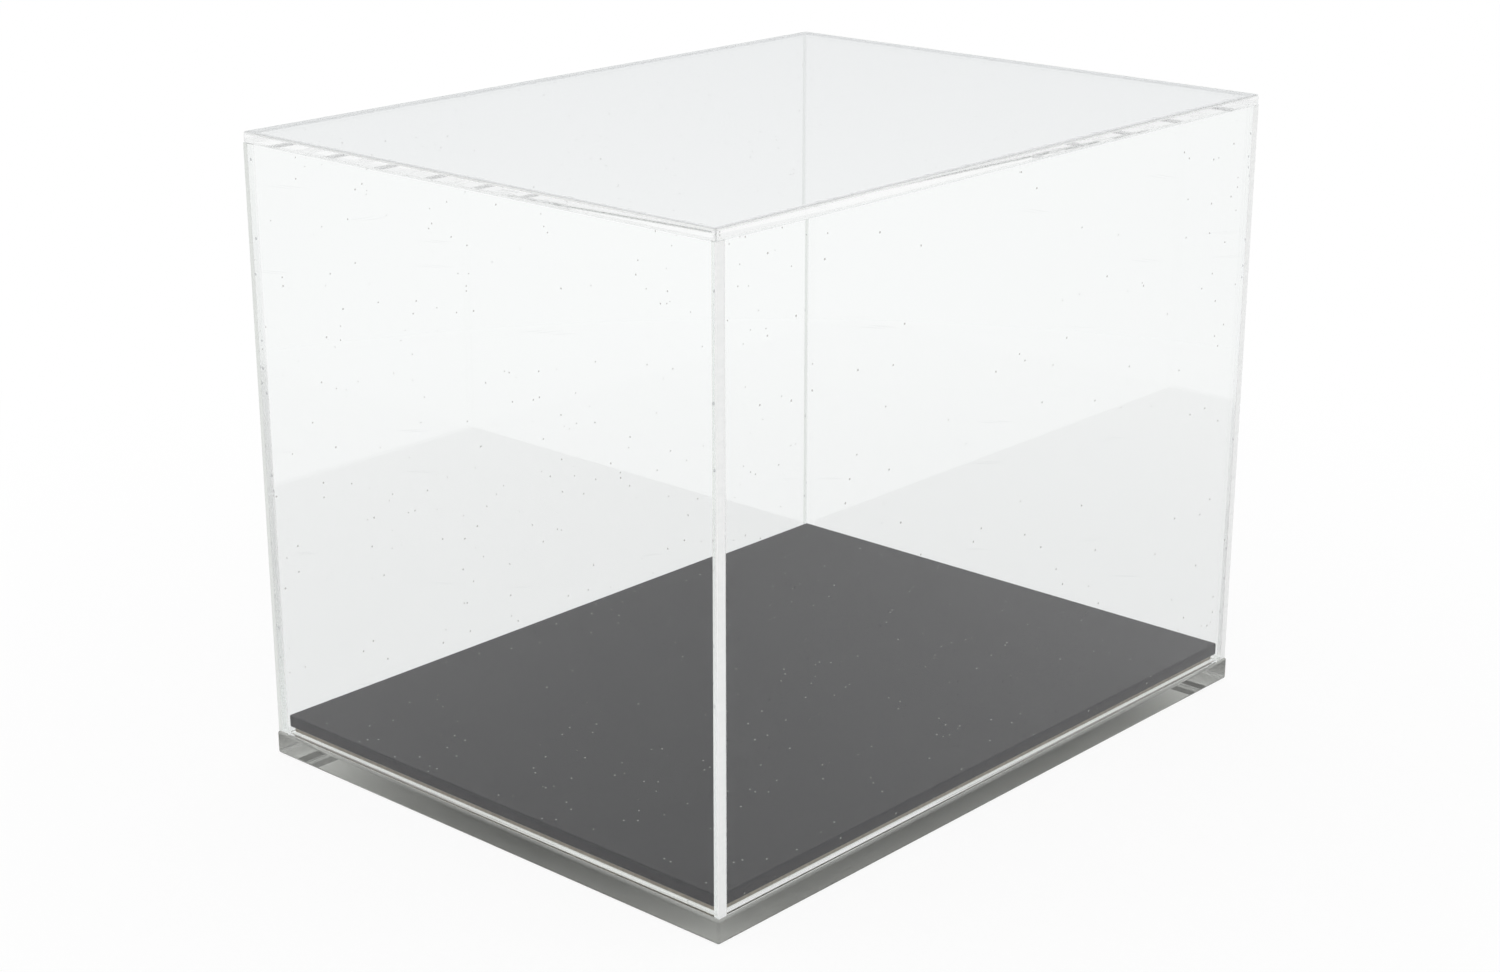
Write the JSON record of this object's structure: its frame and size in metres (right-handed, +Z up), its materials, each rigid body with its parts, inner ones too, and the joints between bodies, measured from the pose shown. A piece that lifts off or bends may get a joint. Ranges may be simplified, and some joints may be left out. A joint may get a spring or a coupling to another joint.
{
  "type": "display case",
  "caption": "Rectangular display case: a clear lift-off cover of cemented flat sheets stands on a thick clear slab, around a black deck that carries the exhibit.",
  "frame": {"origin": "middle of the slab's underside", "axes": "+Z up, +X along the long side, the front long wall faces -Y"},
  "size_m": [0.2, 0.15, 0.157],
  "materials": {
    "clear_slab": "clear cast acrylic with polished edges",
    "clear_sheet": "clear acrylic sheet with sawn edges",
    "cement": "cured clear cement with small bubbles",
    "black_deck": "satin black",
    "mounting_sheet": "matt beige double-sided sheet"
  },
  "bodies": {
    "base": {"base_slab": "clear_slab", "mounting_sheet": "mounting_sheet", "display_deck": "black_deck"},
    "cover": {"left_panel": "clear_sheet", "right_panel": "clear_sheet", "front_panel": "clear_sheet", "rear_panel": "clear_sheet", "top_panel": "clear_sheet", "front_left_bond": "cement", "front_right_bond": "cement", "rear_left_bond": "cement", "rear_right_bond": "cement", "top_front_bond": "cement", "top_rear_bond": "cement", "top_left_bond": "cement", "top_right_bond": "cement"}
  },
  "joints": [
    {"name": "cover_lift", "type": "slide", "parent": "base", "child": "cover", "axis": [0, 0, 1], "range_m": [0, 0.15]}
  ]
}
